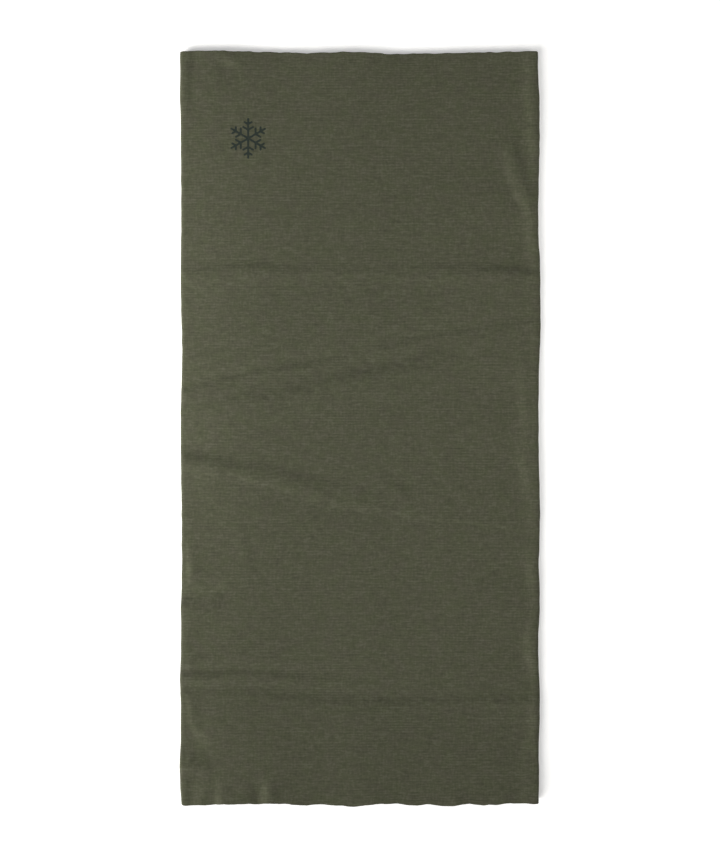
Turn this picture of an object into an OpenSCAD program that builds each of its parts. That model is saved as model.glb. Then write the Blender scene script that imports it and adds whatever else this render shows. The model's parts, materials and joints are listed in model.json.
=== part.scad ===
// Neck gaiter: a seamless knitted tube with raw edges, lying flat on its back.
// X runs across the tube, Y runs along it towards the printed end, and Z is up.
// The origin is the middle of the footprint, on the surface the tube lies on.
// The tube opens to take a head. Six flat strips of the knit turn about six lines along Y,
// two side folds and four bend lines, so the mouth grows from flat to a hexagon.
// The bend lines run along the inner face of each layer, and the lines of the side folds
// run along the middle of the knit where the fold reaches furthest out.

/* [Tube] */
// Width of the tube lying flat, from side fold to side fold
tube_w = 247; // [200:1:280]
// Length of the tube from its bottom edge to its top edge
tube_l = 520; // [300:5:560]
// Thickness of the knit
knit_t = 0.6; // [0.4:0.1:1]
// Height of the tube lying flat, over both layers and the air between them
lying_h = 5.6; // [5.2:0.1:9]

/* [Bend lines] */
// Width of the middle strips, from bend line to bend line
middle_w = 82; // [60:1:95]
// Gap between neighbouring strips at a line where they turn
bend_gap = 0.3; // [0.1:0.1:0.6]

/* [Print] */
// Distance across the printed snowflake, tip to tip
flake_d = 28; // [16:1:40]
// Width of the printed bars
bar_w = 1.4; // [0.8:0.1:2.4]
// Thickness of the ink film on the knit
ink_t = 0.1; // [0.05:0.05:0.3]
// Distance from the middle of the tube to the middle of the print
flake_x = 77; // [62:1:95]
// Distance from the top edge to the middle of the print
flake_from_top = 61; // [25:1:120]

/* [Hidden] */

knit_colour = "#505142";
fold_colour = "#5a5b4a";
ink_colour = "#262d2a";

// Each side fold is half a round tube that joins the two layers
fold_r = lying_h / 2;
fold_inner_r = fold_r - knit_t;
fold_centre_x = tube_w / 2 - fold_r;

bend_x = middle_w / 2;
half_gap = bend_gap / 2;
front_z = lying_h - knit_t;

flake_arms = 6;
// Side barbs of each arm: how far out they start, as a share of the arm, and their length
barbs = [[0.42, 0.30], [0.70, 0.22]];
barb_angle = 60;
round_fn = 64;
past = 1;

// A flat strip of one layer, from x_from to x_to, with its lower face at z_low
module strip(x_from, x_to, z_low) {
    translate([x_from, -tube_l / 2, z_low])
        cube([x_to - x_from, tube_l, knit_t]);
}

// The half-round fold along one edge of the tube: side is -1 on the left and 1 on the right
module side_fold(side) {
    translate([side * fold_centre_x, 0, fold_r])
        difference() {
            rotate([90, 0, 0])
                cylinder(h = tube_l, r = fold_r, center = true, $fn = round_fn);
            rotate([90, 0, 0])
                cylinder(h = tube_l + 2 * past, r = fold_inner_r, center = true, $fn = round_fn);
            translate([-side * fold_r, 0, 0])
                cube([2 * fold_r, tube_l + 2 * past, 2 * fold_r + 2 * past], center = true);
        }
}

// A flat bar of ink that starts at the origin and runs along X
module ink_bar(length) {
    translate([0, -bar_w / 2])
        square([length, bar_w]);
}

// One arm of the snowflake with a pair of barbs at each station
module flake_arm() {
    arm_l = flake_d / 2;
    ink_bar(arm_l);
    for (barb = barbs)
        for (turn = [-barb_angle, barb_angle])
            translate([barb[0] * arm_l, 0])
                rotate(turn)
                    ink_bar(barb[1] * arm_l);
}

// The layer that lies on the table
module back_panel() {
    color(knit_colour)
        strip(-bend_x + half_gap, bend_x - half_gap, 0);
}

module back_left_panel() {
    color(knit_colour)
        strip(-fold_centre_x, -bend_x - half_gap, 0);
}

module back_right_panel() {
    color(knit_colour)
        strip(bend_x + half_gap, fold_centre_x, 0);
}

// The layer that faces up
module front_panel() {
    color(knit_colour)
        strip(-bend_x + half_gap, bend_x - half_gap, front_z);
}

module front_left_panel() {
    color(knit_colour)
        strip(-fold_centre_x + bend_gap, -bend_x - half_gap, front_z);
}

module front_right_panel() {
    color(knit_colour)
        strip(bend_x + half_gap, fold_centre_x - bend_gap, front_z);
}

// The folds belong to the back strips, so the gap is on the front side
module left_side_fold() {
    color(fold_colour)
        side_fold(-1);
}

module right_side_fold() {
    color(fold_colour)
        side_fold(1);
}

// The print near the top edge
module front_emblem() {
    color(ink_colour)
        translate([-flake_x, tube_l / 2 - flake_from_top, lying_h])
            linear_extrude(height = ink_t)
                for (arm = [0 : flake_arms - 1])
                    rotate(90 + arm * 360 / flake_arms)
                        flake_arm();
}

back_panel();
back_left_panel();
back_right_panel();
front_panel();
front_left_panel();
front_right_panel();
left_side_fold();
right_side_fold();
front_emblem();
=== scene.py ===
import json
import math
from collections import namedtuple

import bpy
import numpy as np
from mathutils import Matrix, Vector


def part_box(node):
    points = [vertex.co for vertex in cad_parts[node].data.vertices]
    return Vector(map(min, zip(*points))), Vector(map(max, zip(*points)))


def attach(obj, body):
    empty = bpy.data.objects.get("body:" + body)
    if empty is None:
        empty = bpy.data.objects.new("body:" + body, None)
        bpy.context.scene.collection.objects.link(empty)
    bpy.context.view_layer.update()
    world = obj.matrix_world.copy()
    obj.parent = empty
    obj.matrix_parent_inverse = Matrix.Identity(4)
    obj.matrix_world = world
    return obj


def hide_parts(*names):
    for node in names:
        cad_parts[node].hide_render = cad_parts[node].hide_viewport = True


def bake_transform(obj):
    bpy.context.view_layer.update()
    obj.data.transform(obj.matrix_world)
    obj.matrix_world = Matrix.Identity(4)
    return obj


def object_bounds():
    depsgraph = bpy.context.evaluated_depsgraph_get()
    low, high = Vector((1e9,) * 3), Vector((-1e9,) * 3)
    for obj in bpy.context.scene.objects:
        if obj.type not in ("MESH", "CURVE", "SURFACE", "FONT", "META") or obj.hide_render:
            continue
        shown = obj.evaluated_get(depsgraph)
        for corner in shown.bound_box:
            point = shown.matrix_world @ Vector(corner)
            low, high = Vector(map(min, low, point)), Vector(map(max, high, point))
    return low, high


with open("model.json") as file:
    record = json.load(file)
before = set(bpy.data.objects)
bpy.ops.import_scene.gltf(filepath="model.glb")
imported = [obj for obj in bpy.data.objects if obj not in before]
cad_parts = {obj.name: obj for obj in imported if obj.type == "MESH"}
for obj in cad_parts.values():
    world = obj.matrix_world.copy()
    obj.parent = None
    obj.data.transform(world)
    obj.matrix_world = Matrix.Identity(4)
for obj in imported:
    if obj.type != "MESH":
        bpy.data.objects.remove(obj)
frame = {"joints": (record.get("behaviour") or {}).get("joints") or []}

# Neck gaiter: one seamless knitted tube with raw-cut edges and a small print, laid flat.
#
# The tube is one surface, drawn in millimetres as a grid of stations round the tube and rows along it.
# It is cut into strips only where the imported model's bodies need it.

CAD_LOW, CAD_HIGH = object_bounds()
MM = 0.001

# ---------------------------------------------------------------- sizes from the frame, in millimetres
JOINTS = {j["name"]: j for j in frame["joints"]}
HALF_WIDTH = CAD_HIGH.x / MM
HALF_LENGTH = CAD_HIGH.y / MM
KNIT_THICK = (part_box("back_panel")[1].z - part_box("back_panel")[0].z) / MM
HALF_THICK = KNIT_THICK / 2
LYING_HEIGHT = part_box("front_panel")[1].z / MM
BEND_X = JOINTS["left_front_bend"]["pos_m"][0] / -MM
OPEN_BEND_Z = JOINTS["mouth_opening"]["pos_m"][2] / MM

# ---------------------------------------------------------------- the cloth's own sizes, in millimetres
# The side folds: how far out they reach, and how square they are, where 1 is round and 0 is square
FOLD_REACH = 3.7
FOLD_SQUARE = 0.62
FOLD_START_X = HALF_WIDTH - FOLD_REACH

# The middles of the two layers, and the least gap between their faces. The front layer is pressed a
# little lower than the CAD model's.
BACK_Z = HALF_THICK
PRESSED = 0.40
FRONT_Z = LYING_HEIGHT - HALF_THICK - PRESSED
LEAST_GAP = 0.12

# Where the strips that hold the side folds end, and how fine the grid of the tube is
STRIP_EDGE_X = 108.0
FRONT_STEP = 1.5
BACK_STEP = 3.0
FOLD_STATIONS = 17
ROWS = 561

# The turns, in degrees, at which a raw edge and the nose at the open bend are rounded over, and the
# name of the map of the flat knit
RIM_TURNS = (45, 90, 135)
NOSE_TURNS = (15, 30, 45, 60)
FLAT_MAP = "knit_flat"


# ---------------------------------------------------------------- smooth curves and fields
def through(points, at):
    """The height at each place of a smooth curve through (place, height) points."""
    place, height = np.array(points, float).T
    slope = np.gradient(height, place)
    i = np.clip(np.searchsorted(place, at) - 1, 0, len(place) - 2)
    span = place[i + 1] - place[i]
    f = np.clip((at - place[i]) / span, 0, 1)
    return (
        height[i] * (1 + 2 * f) * (1 - f) ** 2
        + slope[i] * span * f * (1 - f) ** 2
        + height[i + 1] * f**2 * (3 - 2 * f)
        + slope[i + 1] * span * f**2 * (f - 1)
    )


def spline_weights(f):
    """The weights of the four nearest lattice points, for a smooth field."""
    return (
        (1 - f) ** 3 / 6,
        (3 * f**3 - 6 * f**2 + 4) / 6,
        (-3 * f**3 + 3 * f**2 + 3 * f + 1) / 6,
        f**3 / 6,
    )


# The random lattice under a smooth field: its points each way, and how far their values spread so that
# the smoothed field goes from about -1 to 1
LATTICE = 256
LATTICE_SPREAD = 1.8


def cloudy(x, y, size_x, size_y, seed):
    """A smooth random field of about -1 to 1, with lumps of about size_x by size_y millimetres."""
    random = np.random.default_rng(seed)
    lattice = random.uniform(-LATTICE_SPREAD, LATTICE_SPREAD, (LATTICE, LATTICE))
    fx, fy = x / size_x + LATTICE // 2, y / size_y + LATTICE // 2
    ix, iy = np.floor(fx).astype(int), np.floor(fy).astype(int)
    total = 0
    for a, wa in enumerate(spline_weights(fx - ix)):
        for b, wb in enumerate(spline_weights(fy - iy)):
            total = total + wa * wb * lattice[(ix + a) % LATTICE, (iy + b) % LATTICE]
    return total


def wavy(x, height, lump, seed):
    """A smooth random curve of about -height to height, with lumps about lump millimetres long."""
    return height * cloudy(x, 0 * x, lump, 1, seed)


# ---------------------------------------------------------------- the cloth's shape
# A crease is a line where the cloth steps up or down and comes slowly back. Its line and its share are
# points along it, slope is the steepness at the line where the share is 1, width is how wide the step
# is, reach is how far the cloth takes to come back, before is how many times further that is on the
# side before the line, and crinkle is how rough the line is.
Crease = namedtuple("Crease", "line slope width reach share crinkle before", defaults=[0.2, 1.0])

# Creases across the cloth: their points are (x, y), and a slope above 0 rises towards the top edge
ACROSS = [
    Crease(  # straight across, above the middle
        line=[(-123, 108.5), (-68, 111), (-41, 110), (55, 110), (90, 109), (123, 107.5)],
        slope=-0.31, width=2.2, reach=15,
        share=[
            (-123, 0.7), (-80, 0.9), (-50, 0.55), (-20, 0.2), (10, 0.12), (40, 0.22), (70, 0.5),
            (95, 1.05), (123, 1.3),
        ],
    ),
    Crease(  # the soft bright band under it
        line=[(-123, 100), (-68, 102), (0, 101), (55, 101), (123, 99)],
        slope=0.08, width=4.2, reach=15, crinkle=2.4,
        share=[(-123, 0.7), (-90, 0.5), (-50, 1.1), (0, 0.9), (60, 1.0), (123, 0.4)],
    ),
    Crease(  # the upper of two that rise to the right
        line=[
            (-123, 24.5), (-96, 32.5), (-68, 39), (-13, 48), (42, 61.5), (69, 65.5), (97, 69.5),
            (123, 74),
        ],
        slope=-0.18, width=1.9, reach=9,
        share=[
            (-123, 3.2), (-98, 2.9), (-80, 1.5), (-50, 2.1), (-20, 0.7), (10, 1.1), (40, 2.0),
            (70, 1.0), (95, 1.1), (123, 0.9),
        ],
    ),
    Crease(  # the lower one
        line=[(-110, 17), (-48, 26), (-6, 36), (28, 42.5), (55, 51), (90, 61)],
        slope=-0.21, width=4.6, reach=15, crinkle=0.9,
        share=[
            (-118, 0.0), (-95, 0.6), (-50, 1.0), (-20, 1.5), (10, 1.5), (40, 1.1), (70, 0.3),
            (90, 0.0),
        ],
    ),
    Crease(  # the lit cloth over them at the left
        line=[(-123, 31), (-96, 39), (-68, 45.5), (-13, 55)],
        slope=0.07, width=3.0, reach=9,
        share=[(-123, 0.8), (-80, 1.0), (-50, 0.8), (-15, 0.3), (5, 0.0), (123, 0.0)],
    ),
    Crease(  # from the left, falling to the right: the side of a ridge that turns from the light
        line=[(-123, -18.5), (-89, -24), (-60, -28), (-27, -37), (5, -45), (40, -52)],
        slope=-0.265, width=3.3, reach=14,
        share=[
            (-123, 1.2), (-100, 1.05), (-80, 0.5), (-50, 0.62), (-20, 0.22), (10, 0.08), (40, 0.0),
            (123, 0.0),
        ],
    ),
    Crease(  # the side of that ridge that faces the light
        line=[(-123, -28.5), (-75, -36), (-34, -48), (14, -57), (60, -64)],
        slope=0.21, width=2.8, reach=11, crinkle=1.3,
        share=[
            (-123, 1.3), (-80, 0.85), (-60, 0.85), (-30, 0.95), (-10, 0.75), (12, 0.35), (30, 0.15),
            (50, 0.0), (123, 0.0),
        ],
    ),
    Crease(  # the wide lit slope below it at the left
        line=[(-123, -40), (-75, -46), (-34, -55)],
        slope=0.09, width=8.0, reach=26,
        share=[(-123, 1.0), (-95, 0.7), (-70, 0.2), (-50, 0.0), (123, 0.0)],
    ),
    Crease(  # a thin line that runs on to the right
        line=[(-50, -47), (-34, -51), (14, -59), (40, -61.5), (83, -67), (123, -74)],
        slope=0.17, width=1.2, reach=7, crinkle=1.4,
        share=[(-60, 0.0), (-30, 0.6), (10, 0.9), (40, 1.1), (70, 0.8), (95, 1.0), (123, 0.4)],
    ),
    Crease(  # a soft dent where the ridge ends
        line=[(16, -37), (28, -41), (38, -46)],
        slope=-0.16, width=5.0, reach=9, crinkle=0.5,
        share=[(-123, 0.0), (16, 0.0), (27, 1.0), (38, 0.0), (123, 0.0)],
    ),
    Crease(  # the upper of two near the bottom
        line=[(-123, -170), (-68, -169), (-20, -173), (14, -171)],
        slope=-0.27, width=2.1, reach=7,
        share=[(-123, 2.2), (-100, 1.8), (-80, 1.1), (-50, 1.0), (-15, 0.7), (15, 0.0), (123, 0.0)],
    ),
    Crease(  # the lower one
        line=[(-123, -182), (-68, -183), (-20, -187), (28, -188), (69, -187), (123, -185)],
        slope=-0.22, width=2.5, reach=14, crinkle=1.3,
        share=[
            (-123, 0.4), (-80, 0.55), (-50, 0.8), (-20, 1.15), (10, 0.75), (40, 0.8), (70, 0.7),
            (95, 1.4), (123, 1.1),
        ],
    ),
    Crease(  # the lit cloth over them at the left
        line=[(-123, -164), (-95, -164.5), (-60, -163)],
        slope=0.24, width=2.2, reach=8,
        share=[(-123, 1.3), (-100, 1.0), (-80, 0.5), (-60, 0.25), (-35, 0.0), (123, 0.0)],
    ),
    Crease(  # and between them
        line=[(-123, -175.5), (-68, -176), (-20, -180), (20, -180)],
        slope=0.12, width=1.8, reach=5,
        share=[(-123, 1.3), (-80, 1.0), (-40, 0.8), (0, 0.5), (40, 0.0), (123, 0.0)],
    ),
    Crease(  # a short one at the left side
        line=[(-121, -121), (-110, -118.5), (-96, -115)],
        slope=-0.44, width=3.2, reach=10,
        share=[(-123, 1.6), (-112, 1.7), (-103, 1.1), (-94, 0.0), (123, 0.0)],
    ),
    Crease(  # a thin short one below it
        line=[(-121, -161), (-110, -151), (-104, -149)],
        slope=-0.20, width=1.1, reach=5,
        share=[(-123, 1.0), (-112, 0.8), (-106, 0.0), (123, 0.0)],
    ),
    Crease(  # where the left side wrinkles near the bottom
        line=[(-121, -227), (-112, -223), (-98, -225)],
        slope=-0.54, width=4.6, reach=14,
        share=[(-123, 0.9), (-115, 1.1), (-109, 0.6), (-102, 0.0), (123, 0.0)],
    ),
    Crease(  # it is lit again above that
        line=[(-121, -210), (-112, -210), (-104, -211)],
        slope=0.20, width=2.6, reach=6,
        share=[(-123, 0.1), (-117, 0.8), (-112, 0.9), (-107, 0.0), (123, 0.0)],
    ),
    Crease(  # and below it
        line=[(-121, -237), (-112, -237), (-104, -236)],
        slope=0.18, width=3.0, reach=6,
        share=[(-123, 0.2), (-116, 0.8), (-108, 1.0), (-102, 0.0), (123, 0.0)],
    ),
    Crease(  # the lifted top edge above the print
        line=[(-100, 251), (-90, 252), (-80, 251)],
        slope=0.28, width=2.6, reach=9,
        share=[(-123, 0.0), (-99, 0.0), (-93, 1.0), (-88, 1.0), (-81, 0.0), (123, 0.0)],
    ),
    Crease(  # a soft one at the left, above the two that rise
        line=[(-116, 50), (-100, 52), (-84, 56)],
        slope=-0.12, width=3.2, reach=8, crinkle=0.6,
        share=[(-123, 0.2), (-108, 1.0), (-94, 0.8), (-82, 0.0), (123, 0.0)],
    ),
]

# Creases along the side folds: their points are (y, x), and a slope above 0 rises to the right
UPRIGHT = [
    Crease(  # the right side, from the bottom up: beside the bottom edge
        line=[(-262, 114), (-245, 114), (-227, 113.5), (-205, 117.5), (-188, 118)],
        slope=0.20, width=3.4, reach=12, before=4,
        share=[
            (-262, 0.8), (-246, 0.9), (-228, 0.45), (-215, 0.9), (-198, 1.0), (-186, 0.3),
            (-181, 0.0), (262, 0.0),
        ],
    ),
    Crease(  # below the middle
        line=[
            (-182, 117.5), (-160, 116.3), (-150, 115), (-143, 114.8), (-130, 117.3), (-104, 117),
            (-90, 116.5), (-50, 116.5),
        ],
        slope=0.40, width=1.9, reach=9, before=4,
        share=[
            (-182, 0.0), (-172, 0.6), (-160, 1.3), (-150, 1.45), (-142, 1.0), (-134, 0.45),
            (-112, 0.45), (-98, 1.1), (-89, 0.5), (-50, 0.25), (-40, 0.0), (262, 0.0),
        ],
    ),
    Crease(  # at the middle
        line=[
            (-55, 113.5), (-36, 113), (-20, 112.5), (-9, 114.5), (0, 114), (12, 111.5), (29, 111),
            (45, 111),
        ],
        slope=0.29, width=3.6, reach=12, before=4,
        share=[
            (-75, 0.0), (-50, 0.35), (-38, 0.9), (-20, 1.15), (-9, 0.75), (2, 0.7), (12, 1.0),
            (24, 1.1), (34, 0.7), (46, 0.0), (262, 0.0),
        ],
    ),
    Crease(  # the lit side of a diagonal that runs in from the side
        line=[
            (60, 120), (100, 119), (118, 117), (130, 116), (142, 115.5), (150, 114), (156, 111),
            (163, 107), (171, 104.3), (182, 102.3), (195, 101),
        ],
        slope=0.34, width=2.6, reach=10, before=4,
        share=[
            (40, 0.35), (62, 0.2), (100, 0.0), (112, 0.7), (124, 1.25), (136, 1.25), (148, 0.9),
            (160, 1.0), (172, 1.1), (184, 0.8), (195, 0.0), (262, 0.0),
        ],
    ),
    Crease(  # a short one beside it
        line=[(148, 115), (160, 112), (168, 109.5), (178, 109)],
        slope=0.25, width=2.6, reach=8,
        share=[(-262, 0.0), (148, 0.0), (158, 0.7), (166, 1.0), (172, 0.8), (179, 0.0), (262, 0.0)],
    ),
    Crease(  # the dark side of the diagonal
        line=[(158, 118.5), (165, 115.5), (173, 112.5), (181, 110), (190, 107.8), (202, 106.5)],
        slope=-0.11, width=2.3, reach=8,
        share=[(-262, 0.0), (156, 0.0), (166, 0.6), (176, 1.0), (190, 1.0), (199, 0.6), (207, 0.0)],
    ),
    Crease(  # beside the top edge
        line=[(170, 118.6), (187, 118.5), (200, 117), (212, 116.5), (228, 115), (262, 115)],
        slope=0.38, width=2.9, reach=10, before=4,
        share=[
            (-262, 0.0), (160, 0.0), (176, 0.7), (190, 1.1), (205, 1.1), (228, 0.95), (246, 0.8),
            (262, 0.7),
        ],
    ),
    Crease(  # the left side, from the bottom up: at the corner
        line=[(-262, -117), (-240, -117.5), (-215, -115)],
        slope=-0.24, width=2.4, reach=8,
        share=[(-262, 0.9), (-245, 0.8), (-238, 0.2), (-226, 1.1), (-215, 0.4), (-204, 0.0), (262, 0.0)],
    ),
    Crease(  # above the corner
        line=[(-216, -113), (-210, -113.5), (-202, -117), (-190, -119.5)],
        slope=0.36, width=2.2, reach=6,
        share=[(-216, 0.0), (-210, 0.5), (-205, 0.7), (-198, 0.6), (-188, 0.8), (-182, 0.0), (262, 0.0)],
    ),
    Crease(  # below the middle
        line=[(-145, -121), (-130, -120), (-110, -119), (-95, -118.5), (-80, -119.5), (-60, -121)],
        slope=0.36, width=2.2, reach=8,
        share=[
            (-175, 0.0), (-165, 0.7), (-140, 0.6), (-122, 0.1), (-112, 0.3), (-103, 1.0),
            (-90, 1.3), (-80, 0.4), (-60, 0.2), (-30, 0.0), (262, 0.0),
        ],
    ),
    Crease(  # three wrinkles in the bottom edge, from the left
        line=[(-262, -98), (-250, -97.5)],
        slope=0.52, width=2.8, reach=6,
        share=[(-262, 1.0), (-253, 0.9), (-240, 0.0), (262, 0.0)],
    ),
    Crease(  # the second
        line=[(-262, -73), (-250, -73.5), (-240, -80)],
        slope=-0.07, width=4.0, reach=8,
        share=[(-262, 0.7), (-252, 1.0), (-243, 0.8), (-236, 0.0), (262, 0.0)],
    ),
    Crease(  # the third
        line=[(-262, -67), (-250, -66.5), (-243, -65.5), (-235, -63)],
        slope=0.50, width=3.8, reach=8,
        share=[(-262, 1.0), (-252, 1.0), (-246, 0.5), (-239, 0.0), (262, 0.0)],
    ),
    Crease(  # the left side, beside the top edge
        line=[(218, -118), (240, -117), (262, -118)],
        slope=-0.20, width=2.2, reach=8,
        share=[(-262, 0.0), (205, 0.0), (220, 0.7), (238, 1.0), (262, 1.0)],
    ),
    Crease(  # a short soft one below the ridge at the left
        line=[(-98, -75), (-80, -76), (-64, -80)],
        slope=-0.07, width=3.5, reach=7, crinkle=0.3,
        share=[(-262, 0.0), (-98, 0.0), (-88, 1.0), (-74, 0.9), (-64, 0.0), (262, 0.0)],
    ),
]

# A ruffle is a lift of a raw edge: its place along the edge, its width, its height and how far in it runs
Ruffle = namedtuple("Ruffle", "x width height depth")
BOTTOM_RUFFLES = [
    Ruffle(-110, 5.0, 0.45, 9),
    Ruffle(-87, 8.0, 0.55, 10),
    Ruffle(-45, 5.0, 0.25, 7),
    Ruffle(-12, 6.0, 0.22, 6),
    Ruffle(34, 6.0, 0.25, 7),
    Ruffle(66, 4.0, 0.6, 7),
    Ruffle(98, 6.0, 0.30, 8),
]
TOP_RUFFLES = [
    Ruffle(-38, 8.0, 0.20, 8),
    Ruffle(-10, 7.0, 0.18, 8),
    Ruffle(52, 9.0, 0.22, 9),
    Ruffle(104, 6.0, 0.25, 9),
]

# How far each raw edge wanders from its nominal line towards the top, along x
TOP_EDGE = [
    (-123, -1.0), (-91, -0.9), (-70, -1.8), (-54, -1.8), (-35, -2.7), (-12, -1.6), (25, -3.0),
    (60, -2.4), (80, -1.9), (123, -1.2),
]
BOTTOM_EDGE = [
    (-123, 0.4), (-110, 0.6), (-88, 1.7), (-72, 1.4), (-53, 2.1), (-44, 1.0), (-20, 1.1), (-1, 0.2),
    (8, 1.2), (27, 1.9), (37, 0.4), (48, 1.4), (60, 0.1), (75, 1.8), (82, 1.0), (104, 1.9), (123, 1.3),
]
# How far each side fold wanders outwards, along y
LEFT_SIDE = [
    (-260, -0.7), (-237, 0.3), (-198, -0.5), (-174, 0.4), (-152, -0.5), (-128, -0.3), (-95, -0.9),
    (16, -0.3), (44, -1.1), (104, 0.0), (132, -0.4), (191, -0.3), (247, 0.3), (260, 0.1),
]
RIGHT_SIDE = [
    (-260, -0.4), (-215, -0.5), (-182, 0.2), (-154, -0.9), (-121, 0.2), (-99, -0.3), (-55, 0.2),
    (-22, -0.6), (33, -0.4), (66, 0.6), (104, 0.5), (132, -0.7), (214, 0.0), (250, -1.0),
    (260, -1.4),
]

# How far in a raw edge's wandering fades, how far the back layer's raw edges lie inside, and how far
# apart along the random curve the two layers' roughness is taken, so that their edges differ
EDGE_FADE = 9.0
BACK_INSIDE = 3.2
LAYERS_APART = 400

# The first seeds of the two lists of creases, and how many reaches from its line a crease ends
ACROSS_SEED = 40
UPRIGHT_SEED = 60
CREASE_ENDS = 2.6

# How far the front layer sinks, and over what distance in from the fold strips. Towards the
# top edge it sinks less: by what share, from where, and over what distance.
FRONT_SAG = 2.2
SAG_RUN = 90
FLATTER_TOP = 0.75
FLATTER_FROM_Y = 60
FLATTER_RUN = 190

# How far the bottom end is lifted off the back layer, from the last crease on, over what distance,
# and by what share less at the sides
LIFTED_END = 6.5
LIFTED_FROM_Y = -186
LIFTED_RUN = 74
LIFT_DROPS = 0.9

# How far a ruffle leans sideways as it runs in
RUFFLE_LEAN = 0.25

# The back layer: its lift off the table and the most of it, what share of the front's creases it has,
# and how far from the open bend line it is half lifted
BACK_LIFT = 0.10
BACK_LIFT_MOST = 0.22
BACK_CREASES = 0.15
BACK_HALF_LIFTED = 6


def crease_height(creases, along, aside, seed):
    """The height that a list of creases adds at a place along them and aside of them."""
    total = np.zeros_like(along)
    for number, crease in enumerate(creases, seed):
        across = aside - through(crease.line, along)
        share = through(crease.share, along)
        reach = np.where(across < 0, crease.before, 1) * crease.reach
        near = (share > 0) & (np.abs(across) < CREASE_ENDS * reach)
        u, v = along[near], aside[near]
        wander = wavy(u, 0.8, lump=11, seed=number) + wavy(u, 0.3, lump=4, seed=number + 50)
        across = across[near] - wander
        step = crease.slope * crease.width * np.tanh(across / crease.width)
        rough = cloudy(u, v, size_x=3.6, size_y=1.6, seed=number + 200)
        crinkle = crease.crinkle * abs(crease.slope) * rough * np.exp(-((across / (2 * crease.width)) ** 2))
        uneven = 1 + 0.25 * cloudy(u, v, size_x=12, size_y=30, seed=number + 100)
        total[near] += share[near] * uneven * (step * np.exp(-((across / reach[near]) ** 2)) + crinkle)
    return total


def ruffle_height(x, inward, ruffles, seed):
    """The height that a raw edge's waves add at a distance inward from it."""
    total = wavy(x, 0.7, lump=26, seed=seed) * np.exp(-inward / 30)
    total = total + wavy(x, 0.16, lump=9, seed=seed + 5) * np.exp(-inward / 6)
    for r in ruffles:
        across = x - r.x + RUFFLE_LEAN * inward
        total = total + r.height * np.exp(-((across / r.width) ** 2) - inward / r.depth)
    return total


def front_height(x, y):
    """The middle of the knit in the layer that faces up. It sinks between the folds, above the back."""
    slack = 0.26 * cloudy(x, y, size_x=40, size_y=55, seed=11)
    slack = slack + 0.05 * cloudy(x, y, size_x=12, size_y=20, seed=12)
    sunk = np.clip((STRIP_EDGE_X - np.abs(x)) / SAG_RUN, 0, 1)
    towards_top = np.clip((y - FLATTER_FROM_Y) / FLATTER_RUN, 0, 1)
    sag = FRONT_SAG * sunk**2 * (3 - 2 * sunk) * (1 - FLATTER_TOP * towards_top**2)
    below_last = np.clip((LIFTED_FROM_Y - y) / LIFTED_RUN, 0, 1)
    lift = LIFTED_END * below_last * (1 - LIFT_DROPS * (x / HALF_WIDTH) ** 2)
    edges = ruffle_height(x, y + HALF_LENGTH, BOTTOM_RUFFLES, 21)
    edges = edges + ruffle_height(x, HALF_LENGTH - y, TOP_RUFFLES, 22)
    creases = crease_height(ACROSS, x, y, ACROSS_SEED) + crease_height(UPRIGHT, y, x, UPRIGHT_SEED)
    lowest = back_height(x, y) + KNIT_THICK + LEAST_GAP
    # It settles smoothly on the back layer where it would press into it
    over = FRONT_Z - sag + slack + lift + edges + creases - lowest
    return lowest + (over + np.sqrt(over**2 + 4 * LEAST_GAP**2)) / 2


def back_height(x, y):
    """The middle of the knit in the layer that lies on the table. It is flat at the open bend line."""
    clear = np.clip(np.abs(x - BEND_X) / BACK_HALF_LIFTED - 0.5, 0, 1)
    creases = BACK_CREASES * crease_height(ACROSS, -x, y, ACROSS_SEED)
    lift = BACK_LIFT + 0.05 * cloudy(x, y, size_x=30, size_y=40, seed=31) + creases
    return BACK_Z + clear * np.clip(lift, 0, BACK_LIFT_MOST)


def edge_wander(x, lift, y):
    """How far y moves near the raw edges. The back layer's edges lie a little inside the front's."""
    rough = wavy(x + LAYERS_APART * lift, 0.32, lump=3.6, seed=33) + wavy(x, 0.12, lump=1.4, seed=34)
    top = lift * through(TOP_EDGE, x) - (1 - lift) * BACK_INSIDE + rough
    bottom = lift * through(BOTTOM_EDGE, x) + (1 - lift) * BACK_INSIDE + rough
    near_top = np.exp(-(HALF_LENGTH - y) / EDGE_FADE)
    near_bottom = np.exp(-(HALF_LENGTH + y) / EDGE_FADE)
    return top * near_top + bottom * near_bottom


# ---------------------------------------------------------------- the grid of the whole tube
# Stations run round the tube: along the back to the left, over the left fold, along the front
# to the right, over the right fold, and along the back to where they began.
# Its side is -1 on the left fold, 1 on the right one and 0 between them. Out is how far out it lies on
# the fold, and lift is how far up from the back layer to the front one, both from 0 to 1.
Station = namedtuple("Station", "x side out lift")


def steps(a, b, step):
    """Even places from a to b, without b, about step apart."""
    return np.linspace(a, b, max(2, round(abs(b - a) / step)) + 1)[:-1]


def fold_stations(side):
    """Stations over one fold, without its last. They go up the left fold and down the right one."""
    found = []
    for angle in np.linspace(-90, 90, FOLD_STATIONS)[:-1] * -side:
        turn = math.radians(angle)
        out = abs(math.cos(turn)) ** FOLD_SQUARE
        up = math.copysign(abs(math.sin(turn)) ** FOLD_SQUARE, math.sin(turn))
        found.append(Station(side * FOLD_START_X, side, out, (1 + up) / 2))
    return found


def run(corners, step, lift):
    """Stations along one layer through the corners, without the last."""
    found = []
    for a, b in zip(corners, corners[1:]):
        found += [Station(x, 0, 0.0, lift) for x in steps(a, b, step)]
    return found


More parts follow.
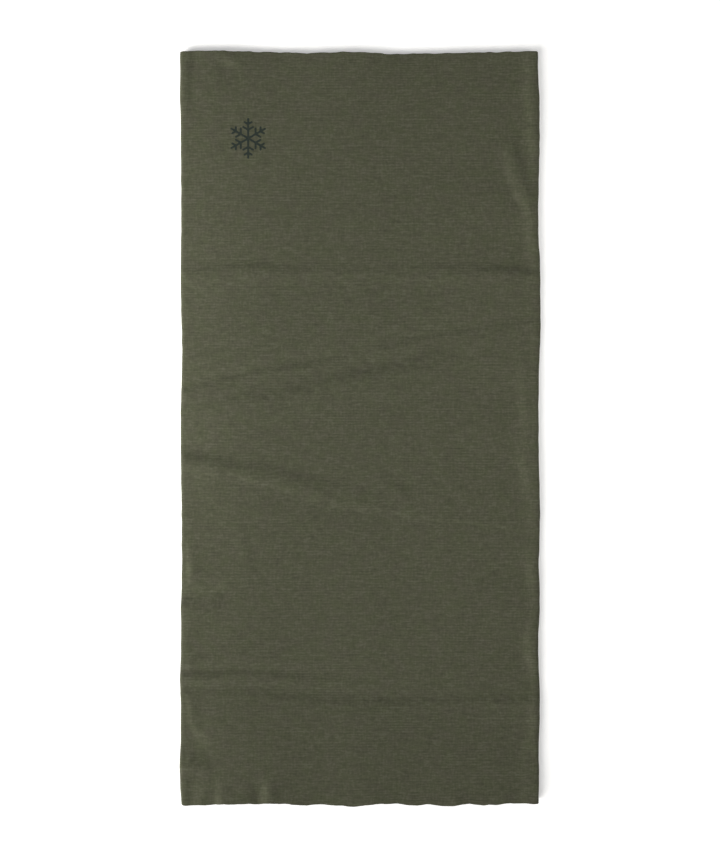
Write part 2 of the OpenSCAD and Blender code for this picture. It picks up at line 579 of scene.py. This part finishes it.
X0, XB, XS = FOLD_START_X, BEND_X, STRIP_EDGE_X
STATIONS = (
    run([0, -XB, -XS, -X0], BACK_STEP, 0.0)
    + fold_stations(-1)
    + run([-X0, -XS, -XB, 0, XB, XS, X0], FRONT_STEP, 1.0)
    + fold_stations(1)
    + run([X0, XS, XB, 0], BACK_STEP, 0.0)
)


def station_at(x, lift):
    """The number of the station at a corner of a layer."""
    found = [i for i, s in enumerate(STATIONS) if s.lift == lift and not s.out and abs(s.x - x) < 1e-6]
    return found[0]


def tube_surface():
    """The middle of the knit, as stations by rows by xyz, with its outward normals and its flat place."""
    x = np.array([s.x for s in STATIONS])[:, None]
    side = np.array([s.side for s in STATIONS])[:, None]
    out = np.array([s.out for s in STATIONS])[:, None]
    lift = np.array([s.lift for s in STATIONS])[:, None]
    y = np.linspace(-HALF_LENGTH, HALF_LENGTH, ROWS)[None, :]
    x, y = x + 0 * y, y + 0 * x
    z = (1 - lift) * back_height(x, y) + lift * front_height(x, y)
    reach = FOLD_REACH + np.where(side < 0, through(LEFT_SIDE, y), through(RIGHT_SIDE, y))
    reach = reach + 0.26 * cloudy(y, side + 0 * y, size_x=5, size_y=2, seed=35)
    points = np.stack([x + side * out * reach, y + edge_wander(x, lift, y), z], axis=2)
    round_tube = np.roll(points, -1, axis=0) - np.roll(points, 1, axis=0)
    along_tube = np.gradient(points, axis=1)
    normals = np.cross(along_tube, round_tube)
    normals = -normals / np.linalg.norm(normals, axis=2, keepdims=True)
    flat = np.linalg.norm(np.diff(points[:, ROWS // 2], axis=0), axis=1)
    flat = np.concatenate([[0], np.cumsum(flat)])
    return points, normals, flat, y[0]


POINTS, NORMALS, FLAT_ROUND, FLAT_ALONG = tube_surface()


def edge_rim(i, end, beside, turns):
    """The points and normals that round over the raw edge at one end of a station."""
    p, n = POINTS[i], NORMALS[i]
    outward = p[end] - p[beside]
    outward = outward / np.linalg.norm(outward)
    turns = [math.radians(t) for t in turns]
    normals = np.array([n[end] * math.cos(t) + outward * math.sin(t) for t in turns])
    return p[end] + normals * HALF_THICK, normals


def loop_of(i):
    """One station's closed outline, over the outer face, round one raw edge, back over the inner face and
    round the other: its points, normals and places along the tube."""
    p, n = POINTS[i], NORMALS[i]
    top, top_normals = edge_rim(i, -1, -2, RIM_TURNS)
    bottom, bottom_normals = edge_rim(i, 0, 1, RIM_TURNS[::-1])
    rim = np.ones(len(RIM_TURNS))
    points = [p + n * HALF_THICK, top, (p - n * HALF_THICK)[::-1], bottom]
    normals = [n, top_normals, -n[::-1], bottom_normals]
    along = [FLAT_ALONG, FLAT_ALONG[-1] * rim, FLAT_ALONG[::-1], FLAT_ALONG[0] * rim]
    return np.concatenate(points), np.concatenate(normals), np.concatenate(along)


def cap_faces(offset, flip):
    """The faces that close a strip where it is cut along the tube, from one station's outline."""
    rims = len(RIM_TURNS)
    outer = np.arange(ROWS)
    inner = ROWS + rims + np.arange(ROWS)[::-1]
    faces = [(outer[j], inner[j], inner[j + 1], outer[j + 1]) for j in range(ROWS - 1)]
    faces.append(tuple(range(ROWS - 1, ROWS + rims + 1)))
    last = 2 * ROWS + 2 * rims
    faces.append((*range(ROWS + rims + ROWS - 1, last), 0))
    faces = [tuple(int(v) + offset for v in face) for face in faces]
    return [face[::-1] for face in faces] if flip else faces


def nose_loops(last, outward_x):
    """Outlines that turn a strip's last cut edge about the hinge line of the open bend."""
    points, normals, along = last
    hinge = points.copy()
    hinge[:, 2] = OPEN_BEND_Z
    aside = np.array([math.copysign(1, outward_x), 0, 0])
    down = hinge[:, 2:3] - points[:, 2:3]
    found = []
    for turn in NOSE_TURNS:
        t = math.radians(turn)
        turned = hinge + down * (aside * math.sin(t) - np.array([0, 0, math.cos(t)]))
        found.append((turned, normals, along))
    return found


def strip(name, first, last, nose=False):
    """A closed strip of the knit from one station to another. A nose rounds its last cut edge about the
    inner face, so that the knit stays closed where the ring of strips is open."""
    count = (last - first) % len(STATIONS) + 1
    order = [(first + i) % len(STATIONS) for i in range(count)]
    loops = [loop_of(i) for i in order]
    flat = [FLAT_ROUND[i] for i in order]
    if nose:
        added = nose_loops(loops[-1], loops[-1][0][0, 0] - POINTS[order[-2], 0, 0])
        loops += added
        flat += [flat[-1]] * len(added)
    size = len(loops[0][0])
    points = np.concatenate([p for p, _, _ in loops])
    normals = np.concatenate([n for _, n, _ in loops])
    faces = []
    for i in range(len(loops) - 1):
        a, b = i * size + np.arange(size), (i + 1) * size + np.arange(size)
        faces += np.stack([a, b, np.roll(b, -1), np.roll(a, -1)], axis=1).tolist()
    skin = len(faces)
    faces += cap_faces(0, True) + cap_faces((len(loops) - 1) * size, False)
    mesh = bpy.data.meshes.new(name)
    mesh.from_pydata((points * MM).tolist(), [], faces)
    mesh.update()
    corner = np.zeros(len(mesh.loops), np.int32)
    mesh.loops.foreach_get("vertex_index", corner)
    skin_corners = 4 * skin
    custom = np.zeros((len(corner), 3))
    custom[:skin_corners] = normals[corner[:skin_corners]]
    mesh.normals_split_custom_set(custom.tolist())
    place = np.zeros((len(points), 2), np.float32)
    place[:, 0] = np.repeat(flat, size) * MM
    place[:, 1] = np.concatenate([a for _, _, a in loops]) * MM
    layer = mesh.uv_layers.new(name=FLAT_MAP)
    layer.data.foreach_set("uv", place[corner].ravel())
    piece = bpy.data.objects.new(name, mesh)
    bpy.context.scene.collection.objects.link(piece)
    return piece


# ---------------------------------------------------------------- materials
# Most of a noise node's values lie between these
NOISE_LOW = 0.3
NOISE_HIGH = 0.7


def new_material(name):
    """An empty node material with its shader."""
    material = bpy.data.materials.new(name)
    material.use_nodes = True
    tree = material.node_tree
    shader = next(n for n in tree.nodes if n.type == "BSDF_PRINCIPLED")
    return material, tree, shader


class Maker:
    """Short calls that add shader nodes to one material."""

    def __init__(self, tree):
        self.tree = tree

    def put(self, socket, value):
        """Sets a socket to a value, or links it to another socket."""
        if isinstance(value, bpy.types.NodeSocket):
            self.tree.links.new(value, socket)
        else:
            socket.default_value = value

    def math(self, kind, a, b=0.0, c=0.0):
        """One step of arithmetic on numbers or sockets."""
        node = self.tree.nodes.new("ShaderNodeMath")
        node.operation = kind
        for socket, value in zip(node.inputs, (a, b, c)):
            self.put(socket, value)
        return node.outputs[0]

    def flat_place(self):
        """The place on the flat knit, in metres: round the tube, and along it."""
        place = self.tree.nodes.new("ShaderNodeUVMap")
        place.uv_map = FLAT_MAP
        parts = self.tree.nodes.new("ShaderNodeSeparateXYZ")
        self.put(parts.inputs[0], place.outputs[0])
        return parts.outputs[0], parts.outputs[1]

    def noise(self, u, v, size_u, size_v, detail=2.0, roughness=0.5, shift=0.0):
        """Noise from 0 to 1 with lumps of about size_u by size_v metres."""
        place = self.tree.nodes.new("ShaderNodeCombineXYZ")
        self.put(place.inputs[0], self.math("DIVIDE", u, size_u))
        self.put(place.inputs[1], self.math("DIVIDE", v, size_v))
        place.inputs[2].default_value = shift
        node = self.tree.nodes.new("ShaderNodeTexNoise")
        self.put(node.inputs["Vector"], place.outputs[0])
        node.inputs["Scale"].default_value = 1.0
        node.inputs["Detail"].default_value = detail
        node.inputs["Roughness"].default_value = roughness
        return node.outputs[0]

    def mix(self, share, a, b):
        """A colour between a and b."""
        node = self.tree.nodes.new("ShaderNodeMix")
        node.data_type = "RGBA"
        for name, kind, value in (("Factor", "VALUE", share), ("A", "RGBA", a), ("B", "RGBA", b)):
            self.put(next(s for s in node.inputs if s.name == name and s.type == kind), value)
        return next(s for s in node.outputs if s.type == "RGBA")

    def spread(self, value, low, high):
        """Noise about its middle, stretched to go from low to high."""
        node = self.tree.nodes.new("ShaderNodeMapRange")
        self.put(node.inputs["Value"], value)
        node.inputs["From Min"].default_value = NOISE_LOW
        node.inputs["From Max"].default_value = NOISE_HIGH
        node.inputs["To Min"].default_value = low
        node.inputs["To Max"].default_value = high
        return node.outputs[0]

    def bump(self, height, strength, depth):
        """A bumped normal from a height of 0 to 1, for a relief that many metres deep."""
        node = self.tree.nodes.new("ShaderNodeBump")
        node.inputs["Strength"].default_value = strength
        node.inputs["Distance"].default_value = depth
        self.put(node.inputs["Height"], height)
        return node.outputs[0]


# The knit in metres: the width of a column of stitches, the height of a stitch, and the distance
# between the faint bands across the tube
WALE = 0.00074
COURSE = 0.00058
BARRE = 0.00185

# Yarn colours and the print's. The gain is how strongly the streaks and the painted stitch shade turn dark
# or light.
KNIT_GREEN = (0.0662, 0.0722, 0.0408, 1)
KNIT_BROWN = (0.0692, 0.0688, 0.0458, 1)
# The darker colour is both dark yarn and painted shade in the stitches' grooves
KNIT_DARK_YARN_AND_SHADE = (0.0450, 0.0470, 0.0291, 1)
# The lighter colour is both light yarn and painted highlight on the stitches' tops
KNIT_LIGHT_YARN_AND_HIGHLIGHT = (0.0940, 0.0970, 0.0650, 1)
INK = (0.0110, 0.0195, 0.0160, 1)
TONE_AND_SHADE_GAIN = 1.52


def stitches(make, u, v):
    """The relief of the plain knit's columns of small Vs, from about 0 to 1."""
    column = make.math("FRACT", make.math("DIVIDE", u, WALE))
    middle = make.math("ABSOLUTE", make.math("SUBTRACT", column, 0.5))
    slant = make.math("MULTIPLY", middle, 1.3)
    turn = make.math("ADD", make.math("DIVIDE", v, COURSE), slant)
    loops = make.math("SINE", make.math("MULTIPLY", turn, 2 * math.pi))
    groove = make.math("COSINE", make.math("MULTIPLY", middle, 4 * math.pi))
    return make.math("MULTIPLY_ADD", loops, 0.3, make.math("MULTIPLY_ADD", groove, -0.2, 0.5))


def heather(make, u, v):
    """The light and dark streaks of the yarn, from about -1 to 1."""
    long = make.noise(u, v, size_u=0.0075, size_v=0.0015, detail=2.0, roughness=0.6)
    short = make.noise(u, v, size_u=0.0020, size_v=0.0011, detail=1.0, shift=7.3)
    wales = make.noise(u, v, size_u=0.0013, size_v=0.0060, detail=1.0, shift=3.1)
    total = make.math("MULTIPLY", make.spread(long, -1, 1), 0.75)
    total = make.math("MULTIPLY_ADD", make.spread(short, -1, 1), 0.55, total)
    total = make.math("MULTIPLY_ADD", make.spread(wales, -1, 1), 0.4, total)
    bands = make.noise(u, v, size_u=0.018, size_v=0.0028, shift=2.2)
    return make.math("MULTIPLY_ADD", make.spread(bands, -1, 1), 0.2, total)


def knit_material():
    """Heathered olive microfibre knit."""
    material, tree, shader = new_material("olive_knit")
    make = Maker(tree)
    u, v = make.flat_place()
    relief = stitches(make, u, v)
    streaks = heather(make, u, v)

    # Faint bands across the tube, which bend and come and go
    drift = make.noise(u, v, size_u=0.050, size_v=0.009, shift=1.7)
    phase = make.math("MULTIPLY_ADD", drift, 5.0, make.math("MULTIPLY", v, 2 * math.pi / BARRE))
    bands = make.math("MULTIPLY", make.math("SINE", phase), make.spread(drift, 0.1, 1.0))

    # How light or dark the yarn is, from streaks, bands and patches, with painted shade in the stitches'
    # grooves and painted highlight on their tops
    tone_and_stitch_shade = make.math("MULTIPLY_ADD", bands, 0.16, make.math("MULTIPLY", streaks, 0.36))
    patches = make.noise(u, v, size_u=0.013, size_v=0.010, detail=3.0, roughness=0.65, shift=5.5)
    tone_and_stitch_shade = make.math("ADD", tone_and_stitch_shade, make.spread(patches, -0.05, 0.05))
    # Painted shade and highlight: darker in the grooves between stitches, lighter on their tops
    tone_and_stitch_shade = make.math("MULTIPLY_ADD", make.math("SUBTRACT", relief, 0.5), 0.22, tone_and_stitch_shade)

    hue = make.noise(u, v, size_u=0.009, size_v=0.009, shift=9.1)
    base = make.mix(make.spread(hue, 0.0, 1.0), KNIT_GREEN, KNIT_BROWN)
    # The darker colour takes dark streaks and painted groove shade, the lighter one light streaks and
    # painted highlight
    dark_and_shade_share = make.math("MAXIMUM", make.math("MULTIPLY", tone_and_stitch_shade, -TONE_AND_SHADE_GAIN), 0.0)
    light_and_highlight_share = make.math("MAXIMUM", make.math("MULTIPLY", tone_and_stitch_shade, TONE_AND_SHADE_GAIN), 0.0)
    colour = make.mix(light_and_highlight_share, make.mix(dark_and_shade_share, base, KNIT_DARK_YARN_AND_SHADE), KNIT_LIGHT_YARN_AND_HIGHLIGHT)

    make.put(shader.inputs["Base Color"], colour)
    make.put(shader.inputs["Roughness"], make.spread(streaks, 0.96, 0.84))
    shader.inputs["Specular IOR Level"].default_value = 0.22
    shader.inputs["Sheen Weight"].default_value = 0.30
    shader.inputs["Sheen Roughness"].default_value = 0.45
    shader.inputs["Sheen Tint"].default_value = (0.86, 0.9, 0.78, 1)
    height = make.math("MULTIPLY_ADD", streaks, 0.22, relief)
    make.put(shader.inputs["Normal"], make.bump(height, strength=0.55, depth=0.00012))
    return material


def ink_material():
    """Dark ink pressed into the knit, which shows through it."""
    material, tree, shader = new_material("print_ink")
    make = Maker(tree)
    u, v = make.flat_place()
    relief = stitches(make, u, v)
    worn = make.noise(u, v, size_u=0.0016, size_v=0.0010, roughness=0.6, shift=4.4)
    worn = make.spread(worn, 0.0, 0.5)
    share = make.math("MULTIPLY", worn, make.math("SUBTRACT", 1.0, relief))
    make.put(shader.inputs["Base Color"], make.mix(share, INK, KNIT_DARK_YARN_AND_SHADE))
    make.put(shader.inputs["Roughness"], make.spread(worn, 0.55, 0.75))
    shader.inputs["Specular IOR Level"].default_value = 0.3
    make.put(shader.inputs["Normal"], make.bump(relief, strength=0.4, depth=0.0001))
    return material


KNIT = knit_material()
PRINT = ink_material()


def at(x=0.0, z=0.0):
    """A point in metres from millimetres."""
    return (x * MM, 0.0, z * MM)


def dress(piece, nodes):
    """Gives a strip of the tube the knit, and hides the CAD parts that it replaces."""
    piece.data.materials.append(KNIT)
    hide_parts(*nodes)


back_left = strip("back_left_knit", station_at(0, 0.0), station_at(-XS, 0.0))
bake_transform(back_left)
dress(back_left, ["back_left_panel"])

left_fold = strip("left_fold_knit", station_at(-XS, 0.0), station_at(-XS, 1.0))
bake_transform(left_fold)
dress(left_fold, ["left_side_fold"])

front_left = strip("front_left_knit", station_at(-XS, 1.0), station_at(0, 1.0))
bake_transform(front_left)
dress(front_left, ["front_left_panel", "front_panel"])

front_right = strip("front_right_knit", station_at(0, 1.0), station_at(XS, 1.0))
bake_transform(front_right)
dress(front_right, ["front_right_panel"])

right_fold = strip("right_fold_knit", station_at(XS, 1.0), station_at(XS, 0.0))
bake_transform(right_fold)
dress(right_fold, ["right_side_fold"])

back_right = strip("back_right_knit", station_at(XS, 0.0), station_at(XB, 0.0), nose=True)
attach(back_right, "back_right")
dress(back_right, ["back_right_panel"])

back_middle = strip("back_middle_knit", station_at(XB, 0.0), station_at(0, 0.0))
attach(back_middle, "back")
dress(back_middle, ["back_panel"])


# ---------------------------------------------------------------- the print
FLAKE_LOW, FLAKE_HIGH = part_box("front_emblem")
FLAKE_X = (FLAKE_LOW.x + FLAKE_HIGH.x) / 2 / MM
FLAKE_Y = (FLAKE_LOW.y + FLAKE_HIGH.y) / 2 / MM
FLAKE_RADIUS = (FLAKE_HIGH.y - FLAKE_LOW.y) / 2 / MM

# Half a bar's width, and each pair of barbs' start and length as shares of an arm
BAR_HALF = 0.7
BARBS = ((0.42, 0.30), (0.70, 0.22))

# How far the ink stands over the knit and goes into it, and the size of the film's cells
INK_THICK = 0.07
INK_CELL = 0.35


def distance_to_bar(x, y, x0, y0, x1, y1):
    """How far a place is outside a round-ended bar."""
    dx, dy = x1 - x0, y1 - y0
    t = np.clip(((x - x0) * dx + (y - y0) * dy) / (dx * dx + dy * dy), 0, 1)
    return np.hypot(x - x0 - t * dx, y - y0 - t * dy) - BAR_HALF


def distance_to_flake(x, y):
    """How far a place is outside the snowflake of six arms, each with two pairs of barbs."""
    nearest = np.full_like(x, np.inf)
    tip = FLAKE_RADIUS - BAR_HALF
    for arm in range(6):
        a = math.radians(90 + 60 * arm)
        ax, ay = math.cos(a), math.sin(a)
        nearest = np.minimum(nearest, distance_to_bar(x, y, 0, 0, tip * ax, tip * ay))
        for start, length in BARBS:
            sx, sy = start * FLAKE_RADIUS * ax, start * FLAKE_RADIUS * ay
            reach = length * FLAKE_RADIUS - BAR_HALF / 2
            for turn in (-60, 60):
                b = a + math.radians(turn)
                ends = (sx, sy, sx + reach * math.cos(b), sy + reach * math.sin(b))
                nearest = np.minimum(nearest, distance_to_bar(x, y, *ends))
    return nearest


def on_front(x, y, height):
    """Points at a height over the middle of the front layer's knit."""
    step = 0.2  # to either side, for the slope
    z = front_height(x, y)
    slope_x = (front_height(x + step, y) - front_height(x - step, y)) / (2 * step)
    slope_y = (front_height(x, y + step) - front_height(x, y - step)) / (2 * step)
    normal = np.stack([-slope_x, -slope_y, np.ones_like(x)], axis=-1)
    normal = normal / np.linalg.norm(normal, axis=-1, keepdims=True)
    return np.stack([x, y, z], axis=-1) + normal * height


def flake_polygons():
    """The snowflake as polygons: square cells, clipped along its outline."""
    count = 2 * math.ceil((FLAKE_RADIUS + INK_CELL) / INK_CELL) + 1
    line = (np.arange(count) - count // 2) * INK_CELL
    gx, gy = np.meshgrid(line, line, indexing="ij")
    inside = -distance_to_flake(gx, gy)
    index, places, polygons = {}, [], []

    def vertex(key, x, y):
        if key not in index:
            index[key] = len(places)
            places.append((x, y))
        return index[key]

    for i in range(count - 1):
        for j in range(count - 1):
            ring = [(i, j), (i + 1, j), (i + 1, j + 1), (i, j + 1)]
            if max(inside[c] for c in ring) <= 0:
                continue
            polygon = []
            for a, b in zip(ring, ring[1:] + ring[:1]):
                if inside[a] > 0:
                    polygon.append(vertex(a, gx[a], gy[a]))
                if (inside[a] > 0) != (inside[b] > 0):
                    t = inside[a] / (inside[a] - inside[b])
                    x, y = gx[a] + t * (gx[b] - gx[a]), gy[a] + t * (gy[b] - gy[a])
                    polygon.append(vertex(tuple(sorted((a, b))), x, y))
            if len(polygon) > 2:
                polygons.append(polygon)
    return np.array(places), polygons


def print_piece():
    """The print as a thin closed film on the knit."""
    places, polygons = flake_polygons()
    x, y = places[:, 0] + FLAKE_X, places[:, 1] + FLAKE_Y
    count = len(places)
    upper = on_front(x, y, HALF_THICK + INK_THICK)
    lower = on_front(x, y, HALF_THICK - INK_THICK)
    edges = {(a, b) for p in polygons for a, b in zip(p, p[1:] + p[:1])}
    faces = [tuple(p) for p in polygons] + [tuple(v + count for v in reversed(p)) for p in polygons]
    faces += [(b, a, a + count, b + count) for a, b in sorted(edges) if (b, a) not in edges]
    mesh = bpy.data.meshes.new("print")
    mesh.from_pydata((np.concatenate([upper, lower]) * MM).tolist(), [], faces)
    mesh.update()
    layer = mesh.uv_layers.new(name=FLAT_MAP)
    corner = np.zeros(len(mesh.loops), np.int32)
    mesh.loops.foreach_get("vertex_index", corner)
    place = np.stack([np.tile(x, 2), np.tile(y, 2)], axis=1)[corner] * MM
    layer.data.foreach_set("uv", place.astype(np.float32).ravel())
    mesh.materials.append(PRINT)
    piece = bpy.data.objects.new("snowflake_print", mesh)
    bpy.context.scene.collection.objects.link(piece)
    return piece


flake = print_piece()
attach(flake, "front_left")
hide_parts("front_emblem")


# ---------------------------------------------------------------- floor, light and camera
# The floor, in metres: half its side, and how far under the tube it lies
FLOOR_HALF = 6.0
FLOOR_Z = -0.0002

# The lights' colour, and how light the surround is at the horizon and overhead, which begins at this
# share of the way up
WARM = (1.0, 0.985, 0.95)
HORIZON_LIGHT = 0.60
OVERHEAD_LIGHT = 0.115
OVERHEAD_FROM = 0.4

# The camera's view from top to bottom, its focal length and its sensor, in millimetres
VIEW_LENGTH = 588.2
FOCAL_LENGTH = 85
SENSOR = 36


def make_floor():
    """A plain white table top that glows a little, like the lit tables of catalogue pictures."""
    mesh = bpy.data.meshes.new("floor")
    corners = [(-1, -1), (1, -1), (1, 1), (-1, 1)]
    points = [(x * FLOOR_HALF, y * FLOOR_HALF, FLOOR_Z) for x, y in corners]
    mesh.from_pydata(points, [], [(0, 1, 2, 3)])
    material, _, shader = new_material("white_table")
    shader.inputs["Base Color"].default_value = (0.9, 0.9, 0.9, 1)
    shader.inputs["Roughness"].default_value = 0.9
    shader.inputs["Specular IOR Level"].default_value = 0.0
    shader.inputs["Emission Color"].default_value = (1, 1, 1, 1)
    shader.inputs["Emission Strength"].default_value = 0.42
    mesh.materials.append(material)
    floor = bpy.data.objects.new("floor", mesh)
    bpy.context.scene.collection.objects.link(floor)


def soft_box(name, place, faces, size, power):
    """A soft round light that faces a place on the table."""
    light = bpy.data.lights.new(name, "AREA")
    light.shape = "DISK"
    light.size = size
    light.energy = power
    light.color = WARM
    lamp = bpy.data.objects.new(name, light)
    lamp.location = place
    towards = Vector(faces) - lamp.location
    lamp.rotation_mode = "QUATERNION"
    lamp.rotation_quaternion = towards.to_track_quat("-Z", "Y")
    lamp.visible_camera = False
    bpy.context.scene.collection.objects.link(lamp)


def make_world():
    """A pale grey surround, as light as the far floor at the horizon and dimmer overhead."""
    world = bpy.data.worlds.new("surround")
    world.use_nodes = True
    tree = world.node_tree
    make = Maker(tree)
    parts = tree.nodes.new("ShaderNodeSeparateXYZ")
    make.put(parts.inputs[0], tree.nodes.new("ShaderNodeTexCoord").outputs["Generated"])
    fade = tree.nodes.new("ShaderNodeMapRange")
    fade.interpolation_type = "SMOOTHSTEP"
    make.put(fade.inputs["Value"], parts.outputs["Z"])
    fade.inputs["From Max"].default_value = OVERHEAD_FROM
    fade.inputs["To Min"].default_value = HORIZON_LIGHT
    fade.inputs["To Max"].default_value = OVERHEAD_LIGHT
    background = tree.nodes["Background"]
    background.inputs["Color"].default_value = (1.0, 1.0, 1.0, 1)
    make.put(background.inputs["Strength"], fade.outputs["Result"])
    bpy.context.scene.world = world


def make_camera():
    """Straight down, with a long lens."""
    data = bpy.data.cameras.new("camera")
    data.lens = FOCAL_LENGTH
    data.sensor_width = SENSOR
    camera = bpy.data.objects.new("camera", data)
    distance = VIEW_LENGTH * data.lens / data.sensor_width
    camera.location = (0.0, 0.0, (distance + LYING_HEIGHT) * MM)
    bpy.context.scene.collection.objects.link(camera)
    bpy.context.scene.camera = camera


make_floor()
make_world()
soft_box("key", place=(-3.4, -3.4, 2.8), faces=(0, 0, 0), size=5.4, power=455.0)
soft_box("side", place=(-0.45, 0.055, 0.22), faces=(-0.45, 0.055, 0), size=0.22, power=2.90)
soft_box("fill", place=(0.45, 0.08, 0.22), faces=(0.45, 0.08, 0), size=0.22, power=1.05)
make_camera()
bpy.context.scene.view_settings.view_transform = "Standard"
